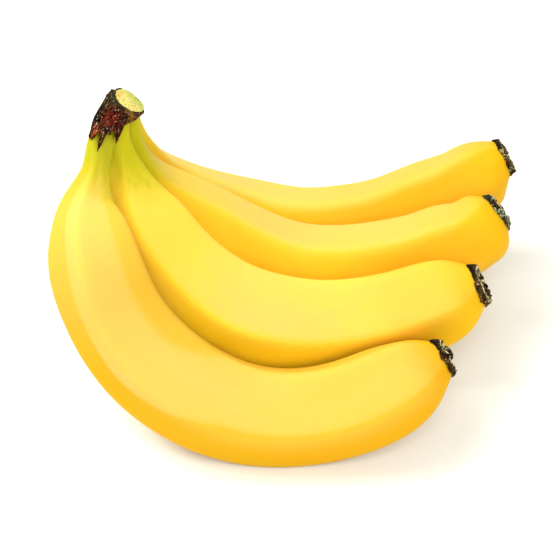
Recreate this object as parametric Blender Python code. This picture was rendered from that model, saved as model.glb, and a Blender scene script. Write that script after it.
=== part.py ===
"""A hand of four ripe bananas grown on one crown, lying on its curved side.

The tables give places and sizes in millimetres, with the surface that the bunch lies on at z = 0.
"""

import math
import random

import bmesh
import bpy
import numpy as np

MM = 0.001
GAP = 0.3  # clearance between neighbouring pieces
CENTRE = np.array((5.0, 61.3, 0.0))  # middle of the bunch on its layout, which becomes the origin

# Each finger's spine, from inside the crown to the blunt end: x, y, z and the radius there.
SPINES = {
    "finger_1": [
        (-63.5, 66, 115, 3.6),
        (-66, 61, 110, 4.9),
        (-68, 55, 102, 5.2),
        (-70.8, 46, 93, 9.7),
        (-70, 35.3, 86.2, 14.7),
        (-64.3, 25.1, 64.1, 17.7),
        (-45.7, 15, 36.1, 19.4),
        (-11, 9.1, 17, 18.9),
        (26, 8.7, 21.3, 18.2),
        (46, 13, 30, 16.6),
        (56, 18.6, 33.4, 12.2),
        (62, 21.2, 35.8, 7.2),
    ],
    "finger_2": [
        (-60, 72, 111, 4.2),
        (-61, 69, 107, 4.9),
        (-60, 66, 98, 6.3),
        (-57, 60, 81, 13.9),
        (-47, 54.9, 60.8, 17.2),
        (-23, 46.5, 38.4, 18.8),
        (-1, 43.3, 31.3, 18.9),
        (23, 45, 28.2, 18.1),
        (46, 47, 31.9, 17.7),
        (61.2, 48, 38.4, 16.6),
        (71.4, 50.2, 42, 13.1),
        (77, 51.2, 45, 7.8),
    ],
    "finger_3": [
        (-58, 80, 107, 4.6),
        (-58, 79, 101, 4.9),
        (-57, 79.7, 87.3, 6.6),
        (-51, 83.6, 64.4, 12.4),
        (-30, 86, 41, 17),
        (-12, 82, 31, 18),
        (8, 79.1, 25, 18.1),
        (26, 79.3, 24, 18),
        (46, 80.3, 27, 17.7),
        (60, 79.4, 33.1, 17.4),
        (70, 80.1, 38.1, 16.7),
        (77.4, 80.9, 42.8, 14.9),
        (83.6, 83.7, 48.1, 12.7),
        (86, 85.8, 51.8, 6.9),
    ],
    "finger_4": [
        (-59, 89, 103, 4.6),
        (-58, 89.4, 94.6, 4.8),
        (-55, 99.2, 71.8, 6.4),
        (-49, 114.2, 41.8, 12.3),
        (-31, 117.8, 24.2, 15.9),
        (-12, 118, 16.3, 17),
        (8, 114.1, 15, 17.2),
        (27, 113.3, 17, 17.2),
        (45, 114.1, 21.2, 17.3),
        (62, 113.8, 30.8, 17.2),
        (75, 113, 40.1, 15.8),
        (85, 114.5, 48.5, 13.3),
        (90.6, 116.2, 53.2, 7.4),
    ],
}

# The peel's five facets: the angle that each faces, from the outer curve towards the side, and its distance
# from the spine as a share of the radius.
FACETS = ((36, 0.93), (115, 0.97), (188, 1.0), (260, 0.94), (328, 0.93))
SIDE_SHARE = 0.9  # thickness from side to side as a share of that across the curve
FACET_TURN = {"finger_1": 0, "finger_2": 20, "finger_3": 3, "finger_4": 28}  # degrees towards the side
RIDGE_SHARPNESS = 10
ROUND_STALK = 32  # length over which the stalk turns from round to faceted
ROUND_TIP = 26  # the same at the blunt end
TIP_TURN = {"finger_1": 0, "finger_2": 8, "finger_3": 27, "finger_4": 19}  # degrees outward at the blunt end
TIP_TURN_LENGTH = 16
FINGER_RINGS = 40
FINGER_SIDES = 20

# The crown's sections, from the cut face down to the collar: middle, half length along the row of stalks,
# half thickness across it, and the bend of its two ends.
CROWN_SECTIONS = [
    ((-56.7, 80.6, 113.1), (2.3, 10.8, -7.2), (4.3, -2.8, -2.8), (0, 0, 0)),
    ((-57.7, 79.6, 113.6), (2.6, 12.4, -8.0), (5.2, -3.3, -3.1), (0, 0, 0)),
    ((-59.4, 76.8, 110.6), (4.0, 16.0, -9.9), (6.6, -2.0, 0.6), (-1.2, 0.6, -0.8)),
    ((-60.3, 75.5, 107.5), (4.5, 19.0, -11.3), (6.9, -0.8, 2.6), (-1.6, 1.0, -1.0)),
]
CROWN_RINGS = 13
CROWN_SIDES = 56
BARK_DEPTH = 0.45
COLLAR_RING = 5  # the ring of a finger's spine where its stalk leaves the crown
COLLAR_RISE = 1.5  # how far the underside rises to its middle between the stalks

# Teeth of bark that run down the stalks: place round the collar in degrees, half width, length.
BARK_TEETH = (
    (20, 18, 2),
    (130, 12, 6.5),
    (150, 7, 2.5),
    (170, 10, 7.5),
    (192, 8, 2.5),
    (212, 8, 2),
    (240, 12, 3),
    (290, 14, 2),
    (340, 16, 2),
)

TIP_SIDES = 28
TIP_POINTS = 6
TIP_SEED = {"finger_1": 3, "finger_2": 5, "finger_3": 8, "finger_4": 13}


def curve_through(rows, count, near_ends=0.0):
    """Rows spaced along the natural cubic curve through the given ones, closer together near the ends."""
    rows = np.array(rows, float)
    knots = np.concatenate([[0], np.cumsum(np.linalg.norm(np.diff(rows[:, :3], axis=0), axis=1))])
    step = np.diff(knots)
    slope = np.diff(rows, axis=0) / step[:, None]
    system = np.eye(len(knots))
    right = np.zeros_like(rows)
    for i in range(1, len(knots) - 1):
        system[i, i - 1 : i + 2] = step[i - 1], 2 * (step[i - 1] + step[i]), step[i]
        right[i] = 6 * (slope[i] - slope[i - 1])
    bend = np.linalg.solve(system, right)
    share = np.linspace(0, 1, count)
    share = share - near_ends * np.sin(2 * math.pi * share) / (2 * math.pi)
    at = share * knots[-1]
    k = np.clip(np.searchsorted(knots, at, side="right") - 1, 0, len(step) - 1)
    width = step[k][:, None]
    a = (knots[k + 1] - at)[:, None] / width
    b = 1 - a
    cubic = (a**3 - a) * bend[k] + (b**3 - b) * bend[k + 1]
    return a * rows[k] + b * rows[k + 1] + cubic * width**2 / 6, at


def unit(vectors):
    return vectors / np.linalg.norm(vectors, axis=-1, keepdims=True)


def facet_radius(angles):
    """The soft five-sided section's radius at each angle, for a finger of radius 1."""
    total = sum(
        np.maximum(0, np.cos(angles - math.radians(facing)) / distance) ** RIDGE_SHARPNESS
        for facing, distance in FACETS
    )
    return total ** (-1 / RIDGE_SHARPNESS)


def smooth_step(value):
    value = np.clip(value, 0, 1)
    return value * value * (3 - 2 * value)


def finger_frame(name, grow=0.0):
    """Ring middles, radii, outward and sideways directions, and lengths along one finger."""
    rows, along = curve_through(SPINES[name], FINGER_RINGS, near_ends=0.45)
    middles, radii = rows[:, :3], rows[:, 3] + grow
    root, belly, tip = middles[0], middles[FINGER_RINGS // 2], middles[-1]
    side = unit(np.cross(belly - root, tip - root))
    tangents = unit(np.gradient(middles, along, axis=0))
    sideways = unit(side - (tangents @ side)[:, None] * tangents)
    outward = np.cross(tangents, sideways)
    turn = math.radians(TIP_TURN[name]) * smooth_step(1 - (along[-1] - along) / TIP_TURN_LENGTH)[:, None]
    turned = np.cos(turn) * tangents + np.sin(turn) * outward
    outward = np.cos(turn) * outward - np.sin(turn) * tangents
    return middles, radii, outward, sideways, turned, along


def finger_rings(name, grow=0.0):
    middles, radii, outward, sideways, _, along = finger_frame(name, grow)
    angles = np.linspace(0, 2 * math.pi, FINGER_SIDES, endpoint=False)
    faceted = facet_radius(angles - math.radians(FACET_TURN[name]))
    facet_share = smooth_step(along / ROUND_STALK) * smooth_step(0.25 + (along[-1] - along) / ROUND_TIP)
    shape = 1 + facet_share[:, None] * (faceted[None, :] - 1)
    reach = (radii[:, None] * shape)[..., None]
    sideways = SIDE_SHARE * sideways
    ring = np.cos(angles)[None, :, None] * outward[:, None] + np.sin(angles)[None, :, None] * sideways[:, None]
    return middles[:, None] + reach * ring


def loft(name, rings, collection, low_cap=None, high_cap=None):
    """A closed solid through rings of equal count, with a fan at each end."""
    shape = bmesh.new()
    rows = [[shape.verts.new((np.array(p) - CENTRE) * MM) for p in ring] for ring in rings]
    for lower, upper in zip(rows, rows[1:]):
        for i in range(len(lower)):
            j = (i + 1) % len(lower)
            shape.faces.new((lower[i], upper[i], upper[j], lower[j]))
    for row, ring, middle in ((rows[0], rings[0], low_cap), (rows[-1], rings[-1], high_cap)):
        centre = shape.verts.new(((np.mean(ring, axis=0) if middle is None else middle) - CENTRE) * MM)
        for i in range(len(row)):
            shape.faces.new((row[i], row[(i + 1) % len(row)], centre))
    bmesh.ops.recalc_face_normals(shape, faces=shape.faces)
    bmesh.ops.triangulate(shape, faces=shape.faces)
    mesh = bpy.data.meshes.new(name)
    shape.to_mesh(mesh)
    shape.free()
    mesh.shade_smooth()
    mesh.set_sharp_from_angle(angle=math.radians(50))
    solid = bpy.data.objects.new(name, mesh)
    collection.objects.link(solid)
    return solid


def add_finger(name, collection):
    rings = finger_rings(name)
    rings[..., 2] = np.maximum(rings[..., 2], 0)  # the belly rests on a small flat spot
    return loft(name, rings, collection)


def add_socket_cutter(name, collection):
    """The space that a finger's stalk takes up in the crown."""
    rings = finger_rings(name, grow=GAP)
    _, _, _, _, tangents, along = finger_frame(name)
    rings[0] -= tangents[0] * GAP
    reach = np.searchsorted(along, 30)
    cutter = loft("socket_" + name, rings[:reach], collection)
    cutter.hide_render = True
    cutter.display_type = "WIRE"
    return cutter


def crown_rings():
    sections = np.array(CROWN_SECTIONS, float)
    places = np.linspace(0, len(sections) - 1, CROWN_RINGS)
    angles = np.linspace(0, 2 * math.pi, CROWN_SIDES, endpoint=False)
    along = np.sign(np.cos(angles)) * np.abs(np.cos(angles)) ** 0.75
    across = np.sign(np.sin(angles)) * np.abs(np.sin(angles)) ** 0.75
    rings = []
    for place in places:
        upper = min(int(place), len(sections) - 2)
        step = sections[upper + 1] - sections[upper]
        middle, length, thickness, bend = sections[upper] + (place - upper) * step
        down = place / places[-1]
        fibres = np.sin(11 * angles + 2 * down) + 0.6 * np.sin(23 * angles - 5 * down + 1)
        fibres += 0.5 * np.sin(37 * angles + 3) * np.sin(9 * down + 4 * angles)
        swell = 1 + BARK_DEPTH * fibres * smooth_step(down * 6) / np.linalg.norm(thickness) / 2
        ring = middle + (along * swell)[:, None] * length + (across * swell)[:, None] * thickness
        rings.append(ring + (along**2)[:, None] * bend)
    return rings, angles


def add_crown(collection, cutters):
    rings, angles = crown_rings()
    near, far = (finger_frame(name)[4][COLLAR_RING] for name in ("finger_1", "finger_4"))
    far_share = (1 + np.cos(angles))[:, None] / 2
    down = unit(near * (1 - far_share) + far * far_share)
    drop = np.full(CROWN_SIDES, 0.5)
    for place, half_width, length in BARK_TEETH:
        away = np.abs((np.degrees(angles) - place + 180) % 360 - 180)
        drop = np.maximum(drop, length * (1 - away / half_width))
    rings.append(rings[-1] + drop[:, None] * down)
    underside = np.mean(rings[-2], axis=0) - COLLAR_RISE * np.mean(down, axis=0)
    crown = loft("crown", rings, collection, high_cap=underside)
    for cutter in cutters:
        cut = crown.modifiers.new(cutter.name, "BOOLEAN")
        cut.operation = "DIFFERENCE"
        cut.object = cutter
    return crown


def add_blossom_tip(finger, collection):
    """The withered flower on a finger's blunt end: a ragged cup with a knob in the middle."""
    middles, radii, outward, sideways, tangents, _ = finger_frame(finger)
    base, axis, radius = middles[-1] + GAP * tangents[-1], tangents[-1], radii[-1]
    draw = random.Random(TIP_SEED[finger])
    angles = np.linspace(0, 2 * math.pi, TIP_SIDES, endpoint=False)
    teeth = np.zeros(TIP_SIDES)
    for k in range(TIP_POINTS):
        place = 2 * math.pi * (k + draw.uniform(-0.25, 0.25)) / TIP_POINTS
        away = np.abs((angles - place + math.pi) % (2 * math.pi) - math.pi)
        teeth = np.maximum(teeth, draw.uniform(0.4, 1.3) * np.maximum(0, 1 - away / draw.uniform(0.35, 0.6)))
    ragged = np.array([draw.uniform(-1, 1) for _ in angles])
    profile = (
        (0.96 + 0 * ragged, 0 * ragged),
        (1.0 + 0.04 * ragged, 0.7 + 0.2 * ragged),
        (0.98 + 0.05 * ragged + 0.04 * teeth, 1.1 + teeth),
        (0.68 + 0.05 * ragged, 0.7 + 0.4 * teeth),
        (0.34 + 0.04 * ragged, 0.9 + 0.2 * ragged),
        (0.2 + 0.02 * ragged, 2.0 + 0.3 * ragged),
    )
    ring = np.cos(angles)[:, None] * outward[-1] + np.sin(angles)[:, None] * sideways[-1]
    rings = [base + radius * share[:, None] * ring + height[:, None] * axis for share, height in profile]
    return loft(finger.replace("finger", "blossom_tip"), rings, collection)


def finish(solid, name, colour, roughness):
    """The piece's own plain material."""
    material = bpy.data.materials.new(name)
    material.use_nodes = True
    shader = material.node_tree.nodes["Principled BSDF"]
    shader.inputs["Base Color"].default_value = (*colour, 1)
    shader.inputs["Roughness"].default_value = roughness
    shader.inputs["Metallic"].default_value = 0
    material.diffuse_color = (*colour, 1)
    solid.data.materials.append(material)


def new_collection(name):
    collection = bpy.data.collections.new(name)
    bpy.context.scene.collection.children.link(collection)
    return collection


def build():
    for old in list(bpy.data.objects):
        bpy.data.objects.remove(old)
    bunch = new_collection("banana_bunch")
    cutters = new_collection("cutters")
    for name in SPINES:
        finish(add_finger(name, bunch), "ripe_peel_" + name[-1], (0.93, 0.66, 0.07), 0.42)
        finish(add_blossom_tip(name, bunch), "withered_blossom_" + name[-1], (0.05, 0.035, 0.02), 0.85)
    sockets = [add_socket_cutter(name, cutters) for name in SPINES]
    finish(add_crown(bunch, sockets), "crown_bark", (0.13, 0.06, 0.03), 0.8)


build()
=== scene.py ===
import math
import random

import bmesh
import bpy
import numpy as np
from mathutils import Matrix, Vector, noise


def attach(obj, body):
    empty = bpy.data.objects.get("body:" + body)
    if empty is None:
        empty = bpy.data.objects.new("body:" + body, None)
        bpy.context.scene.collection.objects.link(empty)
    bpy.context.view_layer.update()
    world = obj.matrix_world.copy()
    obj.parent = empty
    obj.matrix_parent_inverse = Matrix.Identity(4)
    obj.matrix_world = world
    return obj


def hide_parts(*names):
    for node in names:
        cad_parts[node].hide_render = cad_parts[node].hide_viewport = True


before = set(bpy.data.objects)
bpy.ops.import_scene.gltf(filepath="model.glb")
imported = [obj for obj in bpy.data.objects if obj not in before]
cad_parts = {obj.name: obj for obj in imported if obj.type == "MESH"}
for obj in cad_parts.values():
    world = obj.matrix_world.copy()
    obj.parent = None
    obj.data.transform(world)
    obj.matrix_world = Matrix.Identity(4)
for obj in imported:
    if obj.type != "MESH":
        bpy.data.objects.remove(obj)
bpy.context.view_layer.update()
print("frame loaded,", len(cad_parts), "nodes")

mm = 0.001
layout = dict(centre=(5.0, 61.3, 0.0))  # the place on the layout, in mm, that becomes the origin


def unit(vectors):
    return vectors / np.linalg.norm(vectors, axis=-1, keepdims=True)


def smoothStep(value):
    value = np.clip(value, 0, 1)
    return value * value * (3 - 2 * value)


def tone(red, green, blue):  # a screen colour, 0 to 255, as the shader wants it
    shares = (red / 255, green / 255, blue / 255)
    return tuple(c / 12.92 if c <= 0.04 else ((c + 0.055) / 1.055) ** 2.4 for c in shares) + (1,)


def raggedRing(angles, reach, seed):  # noise round a ring, the more ragged the larger its reach
    return np.array([noise.noise(Vector((reach * math.cos(a), reach * math.sin(a), seed))) for a in angles])


def curveThrough(rows, count, nearEnds=0.0):  # a natural cubic through the rows, closer spaced near its ends
    rows = np.array(rows, float)
    knots = np.concatenate([[0], np.cumsum(np.linalg.norm(np.diff(rows[:, :3], axis=0), axis=1))])
    step = np.diff(knots)
    slope = np.diff(rows, axis=0) / step[:, None]
    system, right = np.eye(len(knots)), np.zeros_like(rows)
    for i in range(1, len(knots) - 1):
        system[i, i - 1 : i + 2] = step[i - 1], 2 * (step[i - 1] + step[i]), step[i]
        right[i] = 6 * (slope[i] - slope[i - 1])
    bend = np.linalg.solve(system, right)
    share = np.linspace(0, 1, count)
    share = share - nearEnds * np.sin(2 * math.pi * share) / (2 * math.pi)
    at = share * knots[-1]
    k = np.clip(np.searchsorted(knots, at, side="right") - 1, 0, len(step) - 1)
    width = step[k][:, None]
    a = (knots[k + 1] - at)[:, None] / width
    b = 1 - a
    cubic = (a**3 - a) * bend[k] + (b**3 - b) * bend[k + 1]
    return a * rows[k] + b * rows[k + 1] + cubic * width**2 / 6, at


class Finish:  # one material and the nodes in it
    def __init__(self, name):
        self.material = bpy.data.materials.new(name)
        self.material.use_nodes = True
        self.nodes = self.material.node_tree.nodes
        self.links = self.material.node_tree.links
        self.shader = self.nodes["Principled BSDF"]

    def put(self, socket, value):
        if isinstance(value, bpy.types.NodeSocket):
            self.links.new(value, socket)
        elif value is not None:
            socket.default_value = value

    def place(self, attribute):
        node = self.nodes.new("ShaderNodeAttribute")
        node.attribute_name = attribute
        return node.outputs["Vector"]

    def share(self, attribute):
        node = self.nodes.new("ShaderNodeAttribute")
        node.attribute_name = attribute
        return node.outputs["Fac"]

    def axes(self, vector):
        node = self.nodes.new("ShaderNodeSeparateXYZ")
        self.put(node.inputs[0], vector)
        return node.outputs

    def stretch(self, vector, scale, shift=(0, 0, 0)):
        node = self.nodes.new("ShaderNodeMapping")
        self.put(node.inputs["Vector"], vector)
        node.inputs["Scale"].default_value = scale
        node.inputs["Location"].default_value = shift
        return node.outputs[0]

    def clouds(self, vector, scale, detail=3.0, roughness=0.55, warp=0.0):
        node = self.nodes.new("ShaderNodeTexNoise")
        self.put(node.inputs["Vector"], vector)
        settings = {"Scale": scale, "Detail": detail, "Roughness": roughness, "Distortion": warp}
        for name, value in settings.items():
            node.inputs[name].default_value = value
        return node.outputs["Fac"]

    def cells(self, vector, scale):  # distance to the nearest of many scattered points
        node = self.nodes.new("ShaderNodeTexVoronoi")
        self.put(node.inputs["Vector"], vector)
        node.inputs["Scale"].default_value = scale
        return node.outputs["Distance"]

    def inMm(self):  # places on the piece in mm
        position = self.nodes.new("ShaderNodeTexCoord").outputs["Object"]
        return self.stretch(position, (1 / mm, 1 / mm, 1 / mm))

    def measure(self, operation, vector, fixed):  # one number from a place and a fixed vector
        node = self.nodes.new("ShaderNodeVectorMath")
        node.operation = operation
        self.put(node.inputs[0], vector)
        node.inputs[1].default_value = tuple(fixed)
        return node.outputs["Value"]

    def sum(self, operation, first, second=None, third=None):
        node = self.nodes.new("ShaderNodeMath")
        node.operation = operation
        for socket, value in zip(node.inputs, (first, second, third)):
            self.put(socket, value)
        return node.outputs[0]

    def times(self, first, second):
        return self.sum("MULTIPLY", first, second)

    def swayed(self, value, cloud, amount):  # the value moved up and down by a cloud
        return self.sum("MULTIPLY_ADD", self.sum("SUBTRACT", cloud, 0.5), amount, value)

    def ramp(self, value, low, high, start=0.0, end=1.0):  # smooth change from start to end
        node = self.nodes.new("ShaderNodeMapRange")
        node.interpolation_type = "SMOOTHSTEP"
        self.put(node.inputs["Value"], value)
        for name, number in (("From Min", low), ("From Max", high), ("To Min", start), ("To Max", end)):
            node.inputs[name].default_value = number
        return node.outputs[0]

    def mix(self, share, first, second):
        node = self.nodes.new("ShaderNodeMix")
        node.data_type = "RGBA"
        self.put(node.inputs[0], share)
        self.put(node.inputs[6], first)
        self.put(node.inputs[7], second)
        return node.outputs[2]

    def relief(self, height, depth, after=None):  # depth in mm for heights of 0 to 1
        node = self.nodes.new("ShaderNodeBump")
        node.inputs["Distance"].default_value = depth * mm
        self.put(node.inputs["Height"], height)
        self.put(node.inputs["Normal"], after)
        return node.outputs[0]

    def coat(self, values):  # values for the shader's sockets, by their names
        for name, value in values.items():
            self.put(self.shader.inputs[name], value)


def addPiece(name, points, faces, places=None, shares=None, sharpFrom=50):
    mesh = bpy.data.meshes.new(name)
    points = (np.asarray(points, float) - np.array(layout["centre"])) * mm
    mesh.from_pydata(points.tolist(), [], faces)
    mesh.update()
    if places is not None:
        mesh.attributes.new("place", "FLOAT_VECTOR", "POINT").data.foreach_set("vector", np.ravel(places))
    for key, values in (shares or {}).items():
        mesh.attributes.new(key, "FLOAT", "POINT").data.foreach_set("value", np.ravel(values))
    shape = bmesh.new()
    shape.from_mesh(mesh)
    bmesh.ops.recalc_face_normals(shape, faces=shape.faces)
    shape.to_mesh(mesh)
    shape.free()
    mesh.shade_smooth()
    mesh.set_sharp_from_angle(angle=math.radians(sharpFrom))
    piece = bpy.data.objects.new(name, mesh)
    bpy.context.scene.collection.objects.link(piece)
    return piece


def tubeFaces(rings, sides):  # quads round a tube, and a fan at each end on two extra points
    faces = []
    for k in range(rings - 1):
        for i in range(sides):
            j = (i + 1) % sides
            faces.append((k * sides + i, (k + 1) * sides + i, (k + 1) * sides + j, k * sides + j))
    low, high = rings * sides, rings * sides + 1
    faces += [(i, (i + 1) % sides, low) for i in range(sides)]
    faces += [((rings - 1) * sides + i, high, (rings - 1) * sides + (i + 1) % sides) for i in range(sides)]
    return faces


def tubePoints(grid, middles=(None, None)):
    grid = np.asarray(grid, float)
    ends = [grid[e].mean(axis=0) if middle is None else middle for e, middle in zip((0, -1), middles)]
    return np.vstack([grid.reshape(-1, grid.shape[-1]), ends])


# each banana: how it is bent and turned, and its own tones
fingers = {
    "finger_1": dict(
        spine=[
            (-63.5, 66, 115, 3.6), (-66, 61, 110, 4.9), (-68, 55, 102, 5.2), (-70.8, 46, 93, 9.7),
            (-70, 35.3, 86.2, 14.7), (-64.3, 25.1, 64.1, 17.7), (-45.7, 15, 36.1, 19.4),
            (-11, 9.1, 17, 18.9), (26, 8.7, 21.3, 18.2), (46, 13, 30, 16.6), (56, 18.6, 33.4, 12.2),
            (62, 21.2, 35.8, 7.2),
        ],  # x, y, z and radius in mm, from inside the crown to the blunt end
        facetTurn=0, tipTurn=0,  # degrees, of the flats round the finger and of the blunt end upwards
        # deep: the tone of the flats that take no painted light; set per finger, darker on finger 1, whose
        # lower flats it paints in shade, and lighter on the fingers behind
        deep=tone(208, 160, 2), stalk=tone(164, 160, 28), stalkTo=27,  # stalkTo: where its green ends, mm
        # the first and last numbers on the next line: how strong the painted light by the stalk is, and how
        # much of the flats' painted light is left at the blunt end
        stalkPaintedLight=0.45, young=0.0, tipPaintedLight=0.75,
        paintedLightTurn=(24, -7), paintedLightFlats=(0, 1, 0.4, 0.8, 0.1),  # how pale each of the five flats is painted: painted light, paler on the flats that face up to the light
        tipSeed=3, skirt=0.5, bulk=1.1, flap=(178, 58, 16, 1.7),  # flap: its middle, two sides and length
        mould=0.4, mouldTone=tone(120, 104, 60), flecks=0.7,
    ),
    "finger_2": dict(
        spine=[
            (-60, 72, 111, 4.2), (-61, 69, 107, 4.9), (-60, 66, 98, 6.3), (-57, 60, 81, 13.9),
            (-47, 54.9, 60.8, 17.2), (-23, 46.5, 38.4, 18.8), (-1, 43.3, 31.3, 18.9), (23, 45, 28.2, 18.1),
            (46, 47, 31.9, 17.7), (61.2, 48, 38.4, 16.6), (71.4, 50.2, 42, 13.1), (77, 51.2, 45, 7.8),
        ],
        facetTurn=20, tipTurn=8,
        deep=tone(236, 206, 34), stalk=tone(180, 174, 24), stalkTo=28,
        stalkPaintedLight=0.3, young=0.5, tipPaintedLight=0.6,
        paintedLightTurn=(0, 0), paintedLightFlats=(0, 1, 0.6, 0.8, 0.5),
        tipSeed=5, skirt=0.5, bulk=1.0, flap=(186, 58, 16, 1.9),
        mould=0.4, mouldTone=tone(140, 116, 66), flecks=0.8,
    ),
    "finger_3": dict(
        spine=[
            (-58, 80, 107, 4.6), (-58, 79, 101, 4.9), (-57, 79.7, 87.3, 6.6), (-51, 83.6, 64.4, 12.4),
            (-30, 86, 41, 17), (-12, 82, 31, 18), (8, 79.1, 25, 18.1), (26, 79.3, 24, 18),
            (46, 80.3, 27, 17.7), (60, 79.4, 33.1, 17.4), (70, 80.1, 38.1, 16.7), (77.4, 80.9, 42.8, 14.9),
            (83.6, 83.7, 48.1, 12.7), (86, 85.8, 51.8, 6.9),
        ],
        facetTurn=3, tipTurn=27,
        deep=tone(226, 182, 18), stalk=tone(172, 170, 22), stalkTo=40,
        stalkPaintedLight=0.15, young=0.4, tipPaintedLight=0.8,
        paintedLightTurn=(0, 0), paintedLightFlats=(0.2, 0.15, 1, 0.6, 0.15),
        tipSeed=8, skirt=1.1, bulk=0.7, flap=(205, 75, 30, 0.6),
        mould=1.0, mouldTone=tone(158, 168, 128), flecks=0.8,
    ),
    "finger_4": dict(
        spine=[
            (-59, 89, 103, 4.6), (-58, 89.4, 94.6, 4.8), (-55, 99.2, 71.8, 6.4), (-49, 114.2, 41.8, 12.3),
            (-31, 117.8, 24.2, 15.9), (-12, 118, 16.3, 17), (8, 114.1, 15, 17.2), (27, 113.3, 17, 17.2),
            (45, 114.1, 21.2, 17.3), (62, 113.8, 30.8, 17.2), (75, 113, 40.1, 15.8),
            (85, 114.5, 48.5, 13.3), (90.6, 116.2, 53.2, 7.4),
        ],
        facetTurn=28, tipTurn=19,
        deep=tone(220, 178, 14), stalk=tone(204, 180, 40), stalkTo=34,
        stalkPaintedLight=0.0, young=0.3, tipPaintedLight=0.7,
        paintedLightTurn=(7, 7), paintedLightFlats=(0.1, 0.2, 1, 0.6, 0.2),
        tipSeed=13, skirt=1.0, bulk=0.65, flap=(215, 60, 30, 0.5),
        mould=1.0, mouldTone=tone(150, 150, 100), flecks=0.9,
    ),
}

peel = dict(
    flats=((36, 0.93), (115, 0.97), (188, 1.0), (260, 0.94), (328, 0.93)),  # facing angle, distance
    sharpness=10, sideShare=0.9, roundStalk=32, roundTip=26, flatsAtTip=0.25, tipTurnLength=16,
    rings=230, sides=112, ringsAtEnds=0.45,
    dents=0.12, dentSize=17.0,  # soft unevenness of the surface, mm
    # patterns: how dense they are, across and along the peel
    drift=(0.05, 0.05, 0.02), streaks=(0.5, 0.5, 0.03), grain=(2.4, 2.4, 0.1), spots=(0.28, 0.28, 0.16),
    # painted light: how sharply the painted paler bands keep to their flats, the stretch in mm where they
    # turn, and a painted highlight on the ridges; the streaks' paleness is the peel's own
    paintedLightSharpness=20, paintedLightWander=(85, 135), ridgeHighlight=0.3, streakPale=0.1,
    # stretches of the finger, mm from its crown end; over the first, the painted light by the stalk fades
    # out, and over tipHalf the flats' painted light dims and painted shade in the warm tone comes in, by the
    # last number at most
    paintedLightNearStalk=(45, 95), youngStalk=(50, 100), tipHalf=(115, 175), tipPaintedShade=0.7,
    greenFrom=8, greenFade=10, greenStreaks=24.0, greenDrift=40.0,
    # pale: the tone of the painted light, and of the peel's own pale streaks; warm: the peel's own warmer
    # tone, also used for the painted shade toward the blunt end
    pale=tone(213, 179, 86), young=tone(242, 202, 58), warm=tone(216, 154, 4),
    fleck=tone(150, 96, 20), roughness=(0.45, 0.58), gloss=0.03,
    glow=0.6, glowDepth=8.0, glowReach=(1.0, 0.5, 0.1),  # light that soaks into the peel, mm
    grainDepth=0.03, streakDepth=0.1,  # mm
)


def flatShares(angles, sharpness):  # how much each of the five flats counts at each place round a finger
    return np.array([
        np.maximum(0, np.cos(angles - math.radians(facing)) / distance) ** sharpness
        for facing, distance in peel["flats"]
    ])


def paintedLightShares(name, angles, along):  # painted light: paler bands painted along the flats that face the light, which may wander off them
    low, high = peel["paintedLightWander"]
    atStalk, atTip = fingers[name]["paintedLightTurn"]
    turns = atStalk + (atTip - atStalk) * smoothStep((along - low) / (high - low))
    shares = flatShares(angles + np.radians(turns)[:, None], peel["paintedLightSharpness"])
    return np.tensordot(fingers[name]["paintedLightFlats"], shares, 1) / shares.sum(axis=0)


def fingerFrame(name, count):
    rows, along = curveThrough(fingers[name]["spine"], count, nearEnds=peel["ringsAtEnds"])
    middles, radii = rows[:, :3], rows[:, 3]
    side = unit(np.cross(middles[count // 2] - middles[0], middles[-1] - middles[0]))
    tangents = unit(np.gradient(middles, along, axis=0))
    sideways = unit(side - (tangents @ side)[:, None] * tangents)
    outward = np.cross(tangents, sideways)
    turn = smoothStep(1 - (along[-1] - along) / peel["tipTurnLength"])[:, None]
    turn = math.radians(fingers[name]["tipTurn"]) * turn
    turned = np.cos(turn) * tangents + np.sin(turn) * outward
    outward = np.cos(turn) * outward - np.sin(turn) * tangents
    return middles, radii, outward, sideways, turned, along


def fingerGrid(name, count, sides, grow=0.0, uneven=0.0):
    middles, radii, outward, sideways, _, along = fingerFrame(name, count)
    angles = np.linspace(0, 2 * math.pi, sides, endpoint=False)
    turned = angles - math.radians(fingers[name]["facetTurn"])
    faceted = flatShares(turned, peel["sharpness"]).sum(axis=0) ** (-1 / peel["sharpness"])
    share = smoothStep(along / peel["roundStalk"])  # how far the finger has flats at all
    share = share * smoothStep(peel["flatsAtTip"] + (along[-1] - along) / peel["roundTip"])
    reach = (radii + grow)[:, None] * (1 + share[:, None] * (faceted[None, :] - 1))
    places = np.stack(
        [reach * np.cos(angles), reach * np.sin(angles), np.repeat(along[:, None], sides, axis=1)], axis=-1
    )
    if uneven:
        seed = Vector((0, 0, 100 * fingers[name]["tipSeed"]))
        for k in range(count):
            for i in range(sides):
                dent = noise.noise(Vector(places[k, i]) / peel["dentSize"] + seed)
                reach[k, i] += uneven * dent * share[k]
    across = np.cos(angles)[None, :, None] * outward[:, None]
    across = across + peel["sideShare"] * np.sin(angles)[None, :, None] * sideways[:, None]
    points = middles[:, None] + reach[..., None] * across
    ridge = (faceted - faceted.min()) / (faceted.max() - faceted.min())
    # how much painted light each point takes
    pale = paintedLightShares(name, turned, along)
    return points, places, ridge[None, :] * share[:, None], pale * share[:, None]


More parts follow.
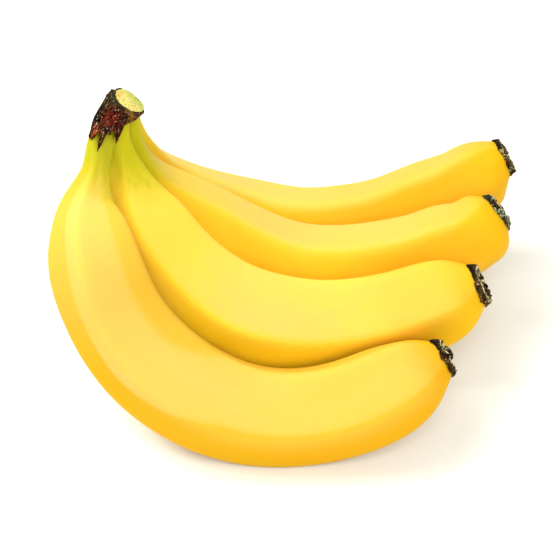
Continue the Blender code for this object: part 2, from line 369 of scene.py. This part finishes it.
def peelFinish(name):
    finger = fingers[name]
    finish = Finish("ripePeel" + name[-1])
    place = finish.place("place")
    along = finish.axes(place)[2]
    drift = finish.clouds(finish.stretch(place, peel["drift"]), 1.0, 3)
    streaks = finish.clouds(finish.stretch(place, peel["streaks"]), 1.0, 4, 0.6)
    grain = finish.clouds(finish.stretch(place, peel["grain"]), 1.0, 3, 0.6)
    colour = finish.mix(finish.ramp(drift, 0.4, 0.8, 0, 0.6), finger["deep"], peel["warm"])
    # painted shade: the warm tone mixed in toward the blunt end
    colour = finish.mix(finish.ramp(along, *peel["tipHalf"], 0, peel["tipPaintedShade"]), colour, peel["warm"])
    colour = finish.mix(finish.ramp(streaks, 0.45, 0.8, 0, peel["streakPale"]), colour, peel["pale"])
    # painted light: a paler tone on the flats that face the light, fading toward the blunt end as painted
    # shade
    paintedLight = finish.times(finish.share("pale"), finish.ramp(drift, 0.25, 0.75, 0.8, 1.0))
    paintedLight = finish.times(paintedLight, finish.ramp(along, *peel["tipHalf"], 1.0, finger["tipPaintedLight"]))
    # painted highlight along the ridges
    ridge = finish.sum("POWER", finish.share("ridge"), 2)
    paintedLight = finish.sum("MAXIMUM", paintedLight, finish.times(ridge, peel["ridgeHighlight"]))
    # painted light by the stalk end, fading out along the finger
    paintedLightByStalk = finish.ramp(along, *peel["paintedLightNearStalk"], finger["stalkPaintedLight"], 0)
    colour = finish.mix(finish.sum("MAXIMUM", paintedLight, paintedLightByStalk), colour, peel["pale"])
    colour = finish.mix(finish.ramp(along, *peel["youngStalk"], finger["young"], 0), colour, peel["young"])
    reach = finish.swayed(along, streaks, peel["greenStreaks"])
    reach = finish.swayed(reach, drift, peel["greenDrift"])
    green = finish.ramp(reach, peel["greenFrom"], finger["stalkTo"] + peel["greenFade"], 1, 0)
    colour = finish.mix(green, colour, finger["stalk"])
    spots = finish.cells(finish.stretch(place, peel["spots"]), 1.0)
    spotted = finish.times(finish.ramp(spots, 0.035, 0.07, 0.35, 0), finish.ramp(grain, 0.5, 0.62))
    bump = finish.relief(grain, peel["grainDepth"])
    finish.coat({
        "Base Color": finish.mix(spotted, colour, peel["fleck"]),
        "Roughness": finish.ramp(grain, 0.3, 0.7, *peel["roughness"]),
        "Specular IOR Level": peel["gloss"],
        "Subsurface Weight": peel["glow"],
        "Subsurface Scale": peel["glowDepth"] * mm,
        "Subsurface Radius": peel["glowReach"],
        "Normal": finish.relief(streaks, peel["streakDepth"], bump),
    })
    return finish.material


peelShapes = {}
for name in fingers:
    # pale: how much painted light each point takes, kept as the 'pale' share
    points, places, ridge, pale = fingerGrid(name, peel["rings"], peel["sides"], uneven=peel["dents"])
    peelShapes[name] = points.copy()
    points[..., 2] = np.maximum(points[..., 2], 0)  # the belly's small flat spot on the table
    piece = addPiece(
        name.replace("_", "Peel"), tubePoints(points), tubeFaces(peel["rings"], peel["sides"]),
        tubePoints(places),
        {"ridge": np.append(ridge.ravel(), [0, 0]), "pale": np.append(pale.ravel(), [0, 0])},
    )
    piece.data.materials.append(peelFinish(name))
    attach(piece, "root")
    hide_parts(name)
print("fingers made")


crown = dict(
    # from the cut face down to the collar, in mm: middle, half length along the stalks, half thickness,
    # bend of the ends
    sections=(
        ((-56.7, 80.6, 113.1), (2.3, 10.8, -7.2), (4.3, -2.8, -2.8), (0, 0, 0)),
        ((-57.7, 79.6, 113.6), (2.6, 12.4, -8.0), (5.2, -3.3, -3.1), (0, 0, 0)),
        ((-59.4, 76.8, 110.6), (4.0, 16.0, -9.9), (6.6, -2.0, 0.6), (-1.2, 0.6, -0.8)),
        ((-60.3, 75.5, 107.5), (4.5, 19.0, -11.3), (6.9, -0.8, 2.6), (-1.6, 1.0, -1.0)),
    ),
    rings=49, sides=336, boxiness=0.75, fibreDepth=0.45, collarRise=1.5, sharpFrom=65,
    # ragged teeth down the stalks: place round the collar in degrees, half width, length in mm
    teeth=(
        (20, 18, 2), (130, 12, 6.5), (150, 7, 2.5), (170, 10, 7.5), (192, 8, 2.5),
        (212, 8, 2), (240, 12, 3), (290, 14, 2), (340, 16, 2),
    ),
    hem=0.5, toothRings=7, toothWay=(200, 10),  # the teeth point as the outer stalks do at ring 10 of 200
    frayDepth=0.5, crackDepth=0.275, crackWidth=0.16, lumpDepth=0.28, lumpSize=1.9,
    socketGap=0.3, socketDepth=34, socketRings=160, socketSides=72,
    # coloured places on the bark: share of the way down, place round it, size in mm, colour, strength
    patches=(
        (0.55, 165, 6.5, "maroon", 0.95), (0.95, 192, 4.2, "rust", 0.85), (0.3, 215, 6.0, "moss", 0.7),
        (0.3, 85, 5.5, "ochre", 1.0), (0.4, 118, 5.0, "ochre", 0.9), (0.85, 140, 4.0, "maroon", 0.7),
    ),
    gloss=0.04, fibreWay=(1.6, 5.4, 5.8), strandDepth=0.6, threadDepth=0.3,
    bark=tone(80, 40, 14), dark=tone(14, 8, 0), maroon=tone(104, 22, 14), rust=tone(158, 72, 36),
    moss=tone(66, 62, 30), ochre=tone(150, 98, 18), fibre=tone(190, 180, 146),
    faceShift=0.22, faceDepth=(0.22, 0.08),  # the pale face: how far off the middle, and how deep in mm
    face=tone(232, 214, 118), faceWarm=tone(224, 184, 100), faceGreen=tone(190, 210, 96),
    faceDot=tone(84, 72, 20),
)


def crownGrid():
    sections = np.array(crown["sections"], float)
    angles = np.linspace(0, 2 * math.pi, crown["sides"], endpoint=False)
    around = [np.sign(wave) * np.abs(wave) ** crown["boxiness"] for wave in (np.cos(angles), np.sin(angles))]
    rings, places = [], []
    for place in np.linspace(0, len(sections) - 1, crown["rings"]):
        upper = min(int(place), len(sections) - 2)
        section = sections[upper] + (place - upper) * (sections[upper + 1] - sections[upper])
        middle, length, thickness, bend = section
        down = place / (len(sections) - 1)
        fibres = np.sin(11 * angles + 2 * down) + 0.6 * np.sin(23 * angles - 5 * down + 1)
        fibres += 0.5 * np.sin(37 * angles + 3) * np.sin(9 * down + 4 * angles)
        swell = 1 + crown["fibreDepth"] * fibres * smoothStep(down * 6) / np.linalg.norm(thickness) / 2
        ring = middle + (around[0] * swell)[:, None] * length + (around[1] * swell)[:, None] * thickness
        ring = ring + (around[0] ** 2)[:, None] * bend
        rings.append(ring)
        places.append(np.stack([np.cos(angles), np.sin(angles), np.full_like(angles, down)], axis=-1))
    stalkRings, stalkRing = crown["toothWay"]
    front, back = (fingerFrame(name, stalkRings)[4][stalkRing] for name in ("finger_1", "finger_4"))
    farShare = (1 + np.cos(angles))[:, None] / 2
    down = unit(front * (1 - farShare) + back * farShare)
    drop = np.full(crown["sides"], crown["hem"])
    for place, halfWidth, length in crown["teeth"]:
        away = np.abs((np.degrees(angles) - place + 180) % 360 - 180)
        drop = np.maximum(drop, length * (1 - away / halfWidth))
    fray = raggedRing(angles, 9, 3) + 0.6 * raggedRing(angles, 27, 7)
    drop = drop + crown["frayDepth"] * (1 + fray) * smoothStep(drop / 2)
    collar = rings[-1]
    for k in range(1, crown["toothRings"] + 1):
        share = k / crown["toothRings"]
        rings.append(collar + (share * drop)[:, None] * down)
        places.append(np.stack([np.cos(angles), np.sin(angles), 1 + 0.5 * share * drop / 7.5], axis=-1))
    rings, places = np.array(rings), np.array(places)
    inward = unit(rings.mean(axis=1, keepdims=True) - rings)
    for k in range(1, len(rings)):  # narrow cracks along the fibres, and small lumps
        for i in range(crown["sides"]):
            x, y, z = places[k, i]
            split = noise.noise(Vector((x * 12, y * 12, z * 2.2)))
            split += 0.5 * noise.noise(Vector((x * 30, y * 30, z * 5)))
            crack = 1 - min(1, abs(split) / crown["crackWidth"])
            lump = noise.noise(Vector(rings[k, i]) / crown["lumpSize"])
            depth = crown["crackDepth"] * crack + crown["lumpDepth"] * lump
            rings[k, i] += inward[k, i] * depth * min(1, 6 * (z if k < crown["rings"] else 1))
    underside = collar.mean(axis=0) - crown["collarRise"] * down.mean(axis=0)
    return rings, underside


def socketCutter(name):  # the room that a stalk takes up in the crown
    points, _, _, _ = fingerGrid(name, crown["socketRings"], crown["socketSides"], grow=crown["socketGap"])
    _, _, _, _, tangents, along = fingerFrame(name, crown["socketRings"])
    points[0] -= tangents[0] * crown["socketGap"]
    points = points[: np.searchsorted(along, crown["socketDepth"])]
    return addPiece("socket" + name[-1], tubePoints(points), tubeFaces(len(points), crown["socketSides"]))


def barkFinish(rings):
    finish = Finish("crownBark")
    inMm = finish.inMm()
    grained = finish.nodes.new("ShaderNodeMapping")  # turned so that z runs down the crown's fibres
    finish.put(grained.inputs["Vector"], inMm)
    upright = Vector(crown["fibreWay"]).rotation_difference(Vector((0, 0, 1)))
    grained.inputs["Rotation"].default_value = upright.to_euler()
    grained = grained.outputs[0]
    blotch = finish.clouds(inMm, 0.42, 4, 0.6)
    strand = finish.clouds(finish.stretch(grained, (0.75, 0.75, 0.16)), 1.0, 3, 0.6, 0.4)
    thread = finish.clouds(finish.stretch(grained, (1.5, 1.5, 0.4)), 1.0, 2, 0.6, 0.3)
    grit = finish.clouds(finish.stretch(grained, (1.7, 1.7, 0.9), (5, 3, 1)), 1.0, 1, 0.5)

    def patch(down, angle, size):  # 1 at a place on the bark, fading out over size mm
        ring = int(down * (crown["rings"] - 1))
        spot = rings[ring][int(angle / 360 * crown["sides"]) % crown["sides"]] - np.array(layout["centre"])
        ragged = finish.sum("MULTIPLY_ADD", blotch, size, finish.measure("DISTANCE", inMm, spot))
        return finish.ramp(ragged, size * 0.75, size * 1.5, 1, 0)

    colour = finish.mix(finish.ramp(strand, 0.45, 0.6), crown["dark"], crown["bark"])
    for down, angle, size, shade, amount in crown["patches"]:
        here = finish.times(patch(down, angle, size), finish.ramp(thread, 0.4, 0.52, 0.2, amount))
        colour = finish.mix(here, colour, crown[shade])
    colour = finish.mix(finish.ramp(thread, 0.44, 0.54, 0.9, 0), colour, crown["dark"])
    fibres = finish.times(finish.ramp(grit, 0.64, 0.7), finish.ramp(blotch, 0.42, 0.55, 0.3, 0.9))
    colour = finish.mix(fibres, colour, crown["fibre"])

    middle, shortHalf, longHalf, _ = np.array(crown["sections"][0], float)
    middle = middle - np.array(layout["centre"])
    upward = unit(np.cross(shortHalf, longHalf))
    upward = upward * np.sign(upward[2])
    level = finish.measure("DOT_PRODUCT", inMm, upward)
    low, high = (float(middle @ upward) - depth for depth in crown["faceDepth"])

    def reachAlong(halfAxis, shift):  # how far a place lies along the cut face, 1 at its end
        scaled = halfAxis / (halfAxis @ halfAxis)
        start = float(middle @ scaled) + shift
        return finish.sum("SUBTRACT", finish.measure("DOT_PRODUCT", inMm, scaled), start)

    sway = finish.clouds(inMm, 0.3, 3)
    shortWay, longWay = reachAlong(shortHalf, crown["faceShift"]), reachAlong(longHalf, 0)
    squares = finish.sum("ADD", finish.sum("POWER", shortWay, 2), finish.sum("POWER", longWay, 2))
    fromMiddle = finish.swayed(finish.sum("SQRT", squares), sway, 0.3)
    onFace = finish.times(finish.ramp(level, low, high), finish.ramp(fromMiddle, 1.0, 1.05, 1, 0))
    warmEnd = finish.ramp(finish.swayed(longWay, sway, 0.8), -0.9, -0.2)
    greenSide = finish.ramp(finish.swayed(shortWay, sway, 0.8), -0.1, 0.8)
    dotted = finish.times(finish.ramp(grit, 0.58, 0.66, 0, 0.8), finish.ramp(thread, 0.4, 0.5))
    rim = finish.times(finish.ramp(fromMiddle, 0.86, 0.98, 0, 0.8), finish.ramp(shortWay, -0.5, 0.3, 0.3, 1))
    face = finish.mix(warmEnd, crown["faceWarm"], crown["face"])
    face = finish.mix(greenSide, face, crown["faceGreen"])
    face = finish.mix(dotted, face, crown["faceDot"])
    face = finish.mix(finish.ramp(thread, 0.5, 0.7, 0, 0.3), face, crown["faceDot"])
    face = finish.mix(rim, face, crown["faceGreen"])
    bump = finish.relief(strand, crown["strandDepth"])
    finish.coat({
        "Base Color": finish.mix(onFace, colour, face),
        "Roughness": finish.ramp(strand, 0.3, 0.7, 0.55, 0.85),
        "Specular IOR Level": crown["gloss"],
        "Normal": finish.relief(thread, crown["threadDepth"], bump),
    })
    return finish.material


crownRings, crownUnder = crownGrid()
crownFaces = tubeFaces(len(crownRings), crown["sides"])
crownPiece = addPiece(
    "crownBark", tubePoints(crownRings, (None, crownUnder)), crownFaces, sharpFrom=crown["sharpFrom"]
)
crownPiece.data.materials.append(barkFinish(crownRings))
for name in fingers:
    cutter = socketCutter(name)
    cut = crownPiece.modifiers.new(cutter.name, "BOOLEAN")
    cut.operation, cut.object, cut.solver = "DIFFERENCE", cutter, "MANIFOLD"
    bpy.context.view_layer.objects.active = crownPiece
    bpy.ops.object.modifier_apply(modifier=cut.name)
    bpy.data.objects.remove(cutter)
crownPiece.data.shade_smooth()
crownPiece.data.set_sharp_from_angle(angle=math.radians(crown["sharpFrom"]))
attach(crownPiece, "root")
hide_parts("crown")
print("crown made,", len(crownPiece.data.polygons), "faces")


# the blossom tips: a ragged cup, a crumpled mass, and curled scraps of the dried flower
blossom = dict(
    gap=0.3, points=6,
    # the skirt over the peel's end: share of its reach, height above the peel in mm
    skirt=((0.2, 0.3), (0.6, 0.3), (1.0, 0.3), (0.95, 0.6), (0.6, 0.85), (0.25, 1.0)),
    cup=(1.04, 1.0, 0.72, 0.4, 0.2), cupPale=(0, 0.8, 0.3, 0, 0),  # the cup's rings: radius, paleness
    lumps=13, lumpSize=(1.1, 2.0), lumpRings=22, lumpSides=30, crumple=0.85,
    scraps=11, scrapLength=(1.4, 3.0), scrapWidth=(2.2, 4.4), scrapThick=0.4, scrapRings=14, scrapSides=16,
    black=tone(12, 8, 3), brown=tone(66, 34, 8), tan=tone(178, 140, 84), pale=tone(214, 206, 150),
    gloss=0.05, crumbDepth=0.3,
)


def peelSurface(name, back, height):  # places back from a finger's blunt end and at a height above its peel
    shape = peelShapes[name]
    middles, _, _, _, _, along = fingerFrame(name, peel["rings"])
    fromEnd = (along[-1] - along)[::-1]

    def at(distance):
        return np.array([
            [np.interp(max(0, d), fromEnd, shape[::-1, i, axis]) for axis in range(3)]
            for i, d in enumerate(distance)
        ])

    places, ways = at(back), unit(at(back - 0.4) - at(back + 0.4))
    inside = np.maximum(0, back)
    centres = np.stack([np.interp(inside, fromEnd, middles[::-1, axis]) for axis in range(3)], axis=-1)
    outs = unit(places - centres)
    outs = unit(outs - (outs * ways).sum(axis=1, keepdims=True) * ways)
    return places + height * outs


def addLump(draw, middle, size, seed):  # a crumpled dark lump
    rings, sides = blossom["lumpRings"], blossom["lumpSides"]
    stretch = np.array([draw.uniform(0.75, 1.25) for _ in range(3)])
    points = []
    for k in range(rings):
        polar = math.pi * (k + 0.5) / rings
        wide, high = math.sin(polar), math.cos(polar)
        for angle in np.linspace(0, 2 * math.pi, sides, endpoint=False):
            way = np.array((wide * math.cos(angle), wide * math.sin(angle), high))
            folds = abs(noise.noise(Vector(way * 1.9) + Vector((seed, 0, 0))))
            folds += 0.5 * abs(noise.noise(Vector(way * 4.5) + Vector((0, seed, 0))))
            points.append(middle + size * stretch * way * (1.12 - blossom["crumple"] * folds))
    points.append(np.mean(points[:sides], axis=0))
    points.append(np.mean(points[-sides - 1 : -1], axis=0))
    return points, tubeFaces(rings, sides)


def addScrap(draw, start, heading, facing, length, width, curl):  # one curled, tapering scrap of dried petal
    steps, sides = blossom["scrapRings"], blossom["scrapSides"]
    heading, place = unit(heading), np.array(start, float)
    sideways = unit(np.cross(heading, facing))
    wave, skew = draw.uniform(0, 9), draw.uniform(-0.5, 0.5)
    points = []
    for k in range(steps):
        share = k / (steps - 1)
        wide = width / 2 * (0.75 + 0.5 * math.sin(math.pi * min(1, 0.2 + 0.8 * share)))
        wide *= 1 - 0.85 * share**3
        thick = blossom["scrapThick"] / 2 * (1.3 - 0.8 * share)
        up = np.cross(sideways, heading)
        for angle in np.linspace(0, 2 * math.pi, sides, endpoint=False):
            across = math.cos(angle)
            frill = 0.3 * abs(across) ** 2 * noise.noise(Vector((2.2 * across + wave, 4 * share, wave)))
            cup = 0.3 * width * across**2
            points.append(
                place + wide * (across + skew * share) * sideways
                + (thick * math.sin(angle) - cup * (1 - share) + width * frill) * up
            )
        heading = unit(heading - curl / steps * up * np.sign(up @ facing))
        place = place + heading * length / (steps - 1)
    points.append(np.mean(points[:sides], axis=0))
    points.append(np.mean(points[(steps - 1) * sides : steps * sides], axis=0))
    shares = [k / (steps - 1) for k in range(steps) for _ in range(sides)] + [0, 1]
    return points, tubeFaces(steps, sides), shares


def blossomFinish(name):
    finger = fingers[name]
    finish = Finish("witheredBlossom" + name[-1])
    inMm = finish.inMm()
    edge = finish.share("edge")
    blotch = finish.clouds(inMm, 0.4, 3, 0.6)
    crumb = finish.clouds(inMm, 0.8, 3, 0.6)
    grit = finish.clouds(inMm, 1.5, 2, 0.5)
    reddish = finish.clouds(inMm, 0.3, 2, 0.5)
    colour = finish.mix(finish.ramp(crumb, 0.5, 0.62), blossom["black"], blossom["brown"])
    mould = finish.times(finish.ramp(blotch, 0.44, 0.54), finish.ramp(grit, 0.46, 0.56, 0, finger["mould"]))
    colour = finish.mix(mould, colour, finger["mouldTone"])
    colour = finish.mix(finish.ramp(reddish, 0.5, 0.62, 0, 0.35), colour, blossom["brown"])
    colour = finish.mix(finish.ramp(grit, 0.62, 0.68, 0, finger["flecks"]), colour, blossom["tan"])
    colour = finish.mix(finish.ramp(edge, -1, 0, 0.85, 0), colour, blossom["black"])
    rim = finish.times(finish.ramp(edge, 0.3, 0.8), finish.ramp(crumb, 0.42, 0.54))
    finish.coat({
        "Base Color": finish.mix(finish.times(rim, 0.9), colour, blossom["pale"]),
        "Roughness": finish.ramp(crumb, 0.3, 0.7, 0.5, 0.9),
        "Specular IOR Level": blossom["gloss"],
        "Normal": finish.relief(crumb, blossom["crumbDepth"]),
    })
    return finish.material


def blossomShape(name):  # points, faces, and how pale (above 0) or black (below 0) each point is
    finger = fingers[name]
    middles, radii, outwards, sidewise, tangents, _ = fingerFrame(name, 200)
    axis, radius, middle = tangents[-1], radii[-1], middles[-1] + blossom["gap"] * tangents[-1]
    outward, sideways = outwards[-1], sidewise[-1]
    draw = random.Random(finger["tipSeed"])
    angles = np.linspace(0, 2 * math.pi, peel["sides"], endpoint=False)
    teeth = np.zeros(peel["sides"])
    for k in range(blossom["points"]):
        place = 2 * math.pi * (k + draw.uniform(-0.25, 0.25)) / blossom["points"]
        away = np.abs((angles - place + math.pi) % (2 * math.pi) - math.pi)
        teeth = np.maximum(teeth, draw.uniform(0.4, 1.3) * np.maximum(0, 1 - away / draw.uniform(0.35, 0.6)))
    ragged = raggedRing(angles, 6, finger["tipSeed"]) + 0.6 * raggedRing(angles, 17, 4)
    place, before, after, length = finger["flap"]
    away = (np.degrees(angles) - place + 180) % 360 - 180
    flap = np.maximum(0, 1 - np.abs(away) / np.where(away < 0, before, after))
    skirt = np.maximum(finger["skirt"] + 0.6 * teeth, length * flap) + 0.4 * ragged
    ring = np.cos(angles)[:, None] * outward + np.sin(angles)[:, None] * sideways
    grid = [middle + 0.9 * radius * ring]
    grid += [peelSurface(name, share * skirt, height) for share, height in blossom["skirt"]]
    heights = (
        1.0 + 0.3 * ragged, 1.2 + finger["bulk"] * teeth + 0.3 * ragged, 1.0 + 0.4 * teeth,
        1.2 + 0.4 * ragged, np.full_like(ragged, 1.8),
    )
    grid += [
        middle + radius * (share + 0.05 * ragged)[:, None] * ring + height[:, None] * axis
        for share, height in zip(blossom["cup"], heights)
    ]
    points, faces = list(tubePoints(grid)), tubeFaces(len(grid), peel["sides"])
    flapBlack = -np.where(flap > 0.1, np.minimum(1, 4 * flap), 0)
    edges = [*np.tile(flapBlack, 1 + len(blossom["skirt"]))]
    edges += [*np.repeat(blossom["cupPale"], peel["sides"]), 0, 0]

    def addPart(newPoints, newFaces, newEdges):
        faces.extend(tuple(v + len(points) for v in face) for face in newFaces)
        points.extend(newPoints)
        edges.extend(newEdges)

    for k in range(blossom["lumps"]):
        angle, reach = draw.uniform(0, 2 * math.pi), math.sqrt(draw.uniform(0, 0.62))
        out = math.cos(angle) * outward + math.sin(angle) * sideways
        size = finger["bulk"] * draw.uniform(*blossom["lumpSize"]) * (1.15 - 0.5 * reach)
        place = middle + radius * reach * out + (0.5 + 0.55 * size) * axis
        lump = addLump(draw, place, size, 7.3 * k + finger["tipSeed"])
        addPart(*lump, [0] * len(lump[0]))
    for k in range(blossom["scraps"]):
        angle = 2 * math.pi * (k + draw.uniform(-0.3, 0.3)) / blossom["scraps"]
        out = math.cos(angle) * outward + math.sin(angle) * sideways
        size = finger["bulk"] * draw.uniform(*blossom["scrapLength"]), draw.uniform(*blossom["scrapWidth"])
        start = middle + radius * draw.uniform(0.68, 0.9) * out + 0.4 * axis
        heading = axis + draw.uniform(-0.4, 0.2) * out
        addPart(*addScrap(draw, start, heading, out, *size, draw.uniform(0.2, 2.6)))
    return points, faces, edges


for name in fingers:
    points, faces, edges = blossomShape(name)
    piece = addPiece(name.replace("finger_", "witheredBlossom"), points, faces, shares={"edge": edges})
    piece.data.materials.append(blossomFinish(name))
    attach(piece, "root")
    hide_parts(name.replace("finger", "blossom_tip"))
print("blossom tips made")


setting = dict(
    table=(0.8, 0.81, 0.75, 1), tableSize=4.0, tableRoughness=0.9, tableGrain=60.0, tableRelief=0.02,
    skyColour=(1, 1, 1, 1), sky=0.72,
    keyPlace=(-0.4, 0.06, 0.7), keySize=(0.5, 0.5), keyPower=6.5,
    fillPlace=(0.25, -0.9, 1.1), fillSize=(0.9, 0.9), fillPower=15,
    lightsAim=(0, 0, 0.03),  # the lights' places are in metres
    lookAt=(0.0, 57.0, 42.0), distance=850.0, elevation=45.0, lens=140.14, sensor=36.0,  # mm on the layout
)

bpy.ops.mesh.primitive_plane_add(size=setting["tableSize"])
table = bpy.context.object
table.name = "paleTable"
tableFinish = Finish("paleTableTop")
grainPlace = tableFinish.nodes.new("ShaderNodeTexCoord").outputs["Object"]
tableGrain = tableFinish.clouds(grainPlace, setting["tableGrain"], 4)
tableFinish.coat({
    "Base Color": setting["table"],
    "Roughness": setting["tableRoughness"],
    "Normal": tableFinish.relief(tableGrain, setting["tableRelief"]),
})
table.data.materials.append(tableFinish.material)


def addSoftbox(name, place, size, power):
    light = bpy.data.lights.new(name, "AREA")
    light.shape = "RECTANGLE"
    light.size, light.size_y = size
    light.energy = power
    lamp = bpy.data.objects.new(name, light)
    lamp.location = place
    lamp.rotation_euler = (Vector(setting["lightsAim"]) - Vector(place)).to_track_quat("-Z", "Y").to_euler()
    bpy.context.scene.collection.objects.link(lamp)


addSoftbox("keySoftbox", setting["keyPlace"], setting["keySize"], setting["keyPower"])
addSoftbox("fillSoftbox", setting["fillPlace"], setting["fillSize"], setting["fillPower"])
world = bpy.data.worlds.new("paleRoom")
world.use_nodes = True
world.node_tree.nodes["Background"].inputs["Color"].default_value = setting["skyColour"]
world.node_tree.nodes["Background"].inputs["Strength"].default_value = setting["sky"]
bpy.context.scene.world = world
bpy.context.scene.view_settings.view_transform = "Standard"

camera = bpy.data.objects.new("photoCamera", bpy.data.cameras.new("photoCamera"))
camera.data.sensor_width = setting["sensor"]
camera.data.lens = setting["lens"]
aim = (Vector(setting["lookAt"]) - Vector(layout["centre"])) * mm
lift = math.radians(setting["elevation"])
camera.location = aim + Vector((0, -math.cos(lift), math.sin(lift))) * setting["distance"] * mm
camera.rotation_euler = (math.pi / 2 - lift, 0, 0)
bpy.context.scene.collection.objects.link(camera)
bpy.context.scene.camera = camera
print("table, light and camera placed")
